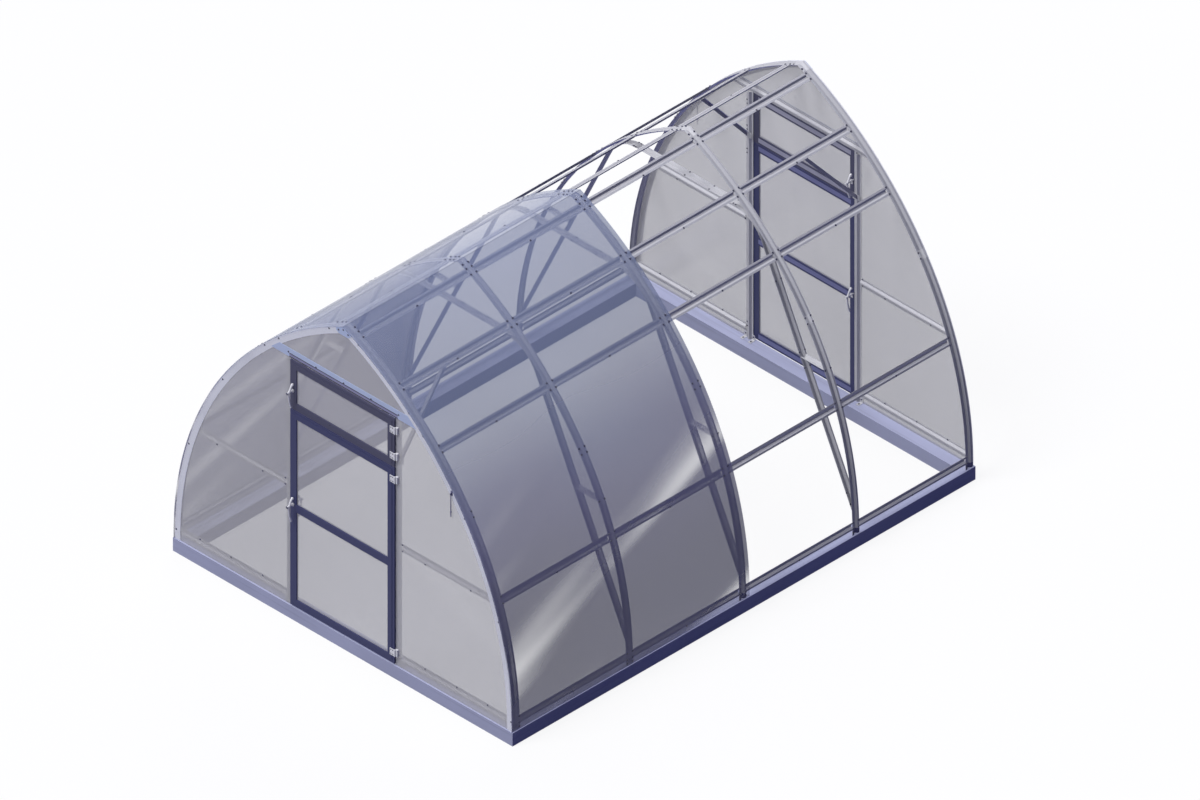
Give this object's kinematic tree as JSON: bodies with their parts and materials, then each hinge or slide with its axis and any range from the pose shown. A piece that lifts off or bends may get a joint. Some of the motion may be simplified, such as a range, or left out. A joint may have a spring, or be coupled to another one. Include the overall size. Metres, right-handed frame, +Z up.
{
  "type": "greenhouse",
  "caption": "Pointed-arch greenhouse with hat-section frames on a timber base, sheeted gables with hinged doors, and a bent cover sheet over its front half",
  "frame": {"origin": "on the ground under the middle of the house", "axes": "X across the house, Y along it with the front gable towards -Y, Z up"},
  "size_m": [3, 4.213, 2.4626],
  "materials": {
    "beam_paint": "blue-grey painted timber",
    "frame_steel": "pale lavender paint, dark in the flanks",
    "strap_steel": "pale satin paint",
    "shoe_navy": "navy satin paint",
    "strip_blue": "light blue satin paint",
    "cover_sheet": "clear glossy sheet with a blue cast",
    "gable_sheet": "hazy grey sheet",
    "leaf_navy": "navy satin paint",
    "fitting_pale": "pale satin",
    "hook_navy": "navy satin paint"
  },
  "bodies": {
    "house": {"base_front_beam": "beam_paint", "base_rear_beam": "beam_paint", "base_left_beam": "beam_paint", "base_right_beam": "beam_paint", "front_arch": "frame_steel", "second_arch": "frame_steel", "middle_arch": "frame_steel", "fourth_arch": "frame_steel", "rear_arch": "frame_steel", "splice_saddles": "strap_steel", "ridge_saddles": "strap_steel", "foot_shoes": "shoe_navy", "second_arch_legs": "frame_steel", "middle_arch_legs": "frame_steel", "fourth_arch_legs": "frame_steel", "collar_ties": "frame_steel", "leg_struts": "frame_steel", "bottom_rails": "frame_steel", "side_purlins": "frame_steel", "shoulder_purlins": "frame_steel", "upper_purlins": "frame_steel", "ridge_purlins": "frame_steel", "cover_left": "cover_sheet", "cover_right": "cover_sheet", "gable_braces": "frame_steel", "wind_hooks": "hook_navy", "peak_plates": "strip_blue", "front_posts": "frame_steel", "front_rails": "frame_steel", "front_lintel": "strip_blue", "front_edge_strips": "strip_blue", "front_side_panels": "gable_sheet", "front_peak_panel": "gable_sheet", "front_vent_frame": "leaf_navy", "front_vent_sheet": "gable_sheet", "front_vent_latch": "fitting_pale", "front_hinges": "fitting_pale", "rear_posts": "frame_steel", "rear_rails": "frame_steel", "rear_lintel": "strip_blue", "rear_edge_strips": "strip_blue", "rear_side_panels": "gable_sheet", "rear_peak_panel": "gable_sheet", "rear_vent_frame": "leaf_navy", "rear_vent_sheet": "gable_sheet", "rear_vent_latch": "fitting_pale", "rear_hinges": "fitting_pale"},
    "front_door": {"front_door_frame": "leaf_navy", "front_door_sheets": "gable_sheet", "front_door_hinges": "fitting_pale"},
    "front_latch": {"front_door_latch": "fitting_pale"},
    "rear_door": {"rear_door_frame": "leaf_navy", "rear_door_sheets": "gable_sheet", "rear_door_hinges": "fitting_pale"},
    "rear_latch": {"rear_door_latch": "fitting_pale"}
  },
  "joints": [
    {"name": "front_door_hinge", "type": "hinge", "parent": "house", "child": "front_door", "pos_m": [0.4665, -2.0515, 0.86], "axis": [0, 0, 1], "range_deg": [0, 150]},
    {"name": "front_latch_turn", "type": "hinge", "parent": "front_door", "child": "front_latch", "pos_m": [-0.431, -2.03, 0.892], "axis": [0, 1, 0], "range_deg": [0, 90]},
    {"name": "rear_door_hinge", "type": "hinge", "parent": "house", "child": "rear_door", "pos_m": [-0.4665, 2.0515, 0.86], "axis": [0, 0, 1], "range_deg": [0, 150]},
    {"name": "rear_latch_turn", "type": "hinge", "parent": "rear_door", "child": "rear_latch", "pos_m": [0.431, 2.03, 0.892], "axis": [0, -1, 0], "range_deg": [0, 90]}
  ]
}
